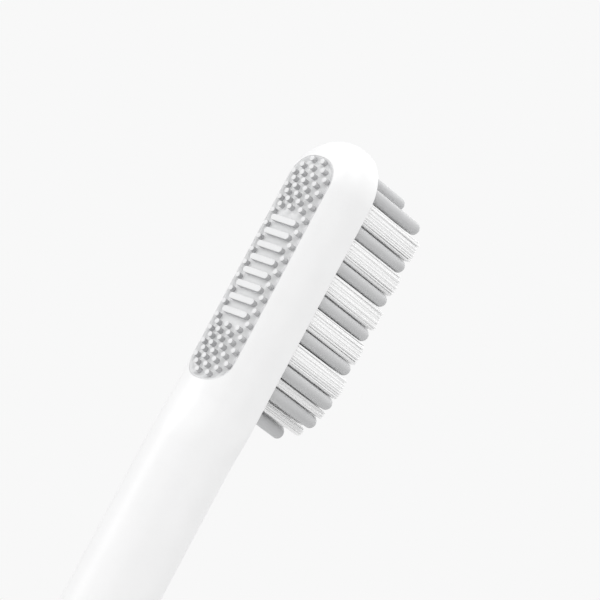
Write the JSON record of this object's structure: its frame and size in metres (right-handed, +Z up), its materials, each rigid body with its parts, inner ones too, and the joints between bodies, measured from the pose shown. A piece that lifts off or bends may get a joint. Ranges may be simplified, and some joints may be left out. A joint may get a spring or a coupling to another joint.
{
  "type": "electric toothbrush",
  "caption": "Slim battery toothbrush: round handle, push button, pull-off brush head with a raised-dot rubber pad on its back, and soft rods round the bristles.",
  "frame": {"origin": "middle of the flat base", "axes": "+Z up the handle to the tip of the brush head, +Y to the back of the head with its rubber pad, -Y to the bristles and the button"},
  "size_m": [0.016, 0.0219, 0.1899],
  "materials": {
    "white_plastic": "satin moulded",
    "grey_rubber": "matt moulded",
    "bristle_white": "drawn filament",
    "natural_plastic": "moulded",
    "frame_plastic": "moulded",
    "board_green": "solder mask",
    "chip_black": "moulded",
    "black_rubber": "matt moulded",
    "clear_plastic": "clear",
    "steel": "plated",
    "spring_steel": "nickel plated",
    "tungsten": "sintered",
    "cell_wrap": "plain wrap",
    "wire_red": "insulation",
    "wire_black": "insulation"
  },
  "bodies": {
    "handle": {"handle_shell": "white_plastic", "base_cap": "grey_rubber"},
    "drive_module": {"upper_housing": "white_plastic", "chassis": "frame_plastic", "sealing_ring": "black_rubber", "battery_cell": "cell_wrap", "negative_contact_strip": "spring_steel", "positive_contact": "spring_steel", "battery_spring": "spring_steel", "circuit_board": "board_green", "board_screw_lower": "steel", "board_screw_upper": "steel", "control_chip": "chip_black", "capacitor": "steel", "indicator_lamp": "clear_plastic", "light_pipe": "clear_plastic", "switch_body": "chip_black", "drive_spigot": "natural_plastic", "motor_sleeve": "black_rubber", "motor_can": "steel", "motor_end_cap": "natural_plastic", "motor_lead_left": "wire_black", "motor_lead_right": "wire_red"},
    "rotor": {"motor_shaft": "steel", "eccentric_weight": "tungsten"},
    "button": {"button_cap": "grey_rubber", "switch_plunger": "natural_plastic"},
    "brush_head": {"brush_head_shell": "white_plastic", "coupling_sleeve": "natural_plastic", "joint_ring": "grey_rubber", "tongue_pad": "grey_rubber", "soft_fingers": "grey_rubber", "bristle_field": "bristle_white"}
  },
  "joints": [
    {"name": "module_pull_out", "type": "slide", "parent": "handle", "child": "drive_module", "axis": [0, 0, 1], "range_m": [0, 0.082]},
    {"name": "motor_spin", "type": "hinge", "parent": "drive_module", "child": "rotor", "pos_m": [0, 0, 0.125], "axis": [0, 0, 1], "continuous": true},
    {"name": "button_press", "type": "slide", "parent": "drive_module", "child": "button", "axis": [0, 1, 0], "range_m": [0, 0.0005], "stiffness_N_per_m": 1000},
    {"name": "head_pull_off", "type": "slide", "parent": "drive_module", "child": "brush_head", "axis": [0, 0, 1], "range_m": [0, 0.025]}
  ]
}
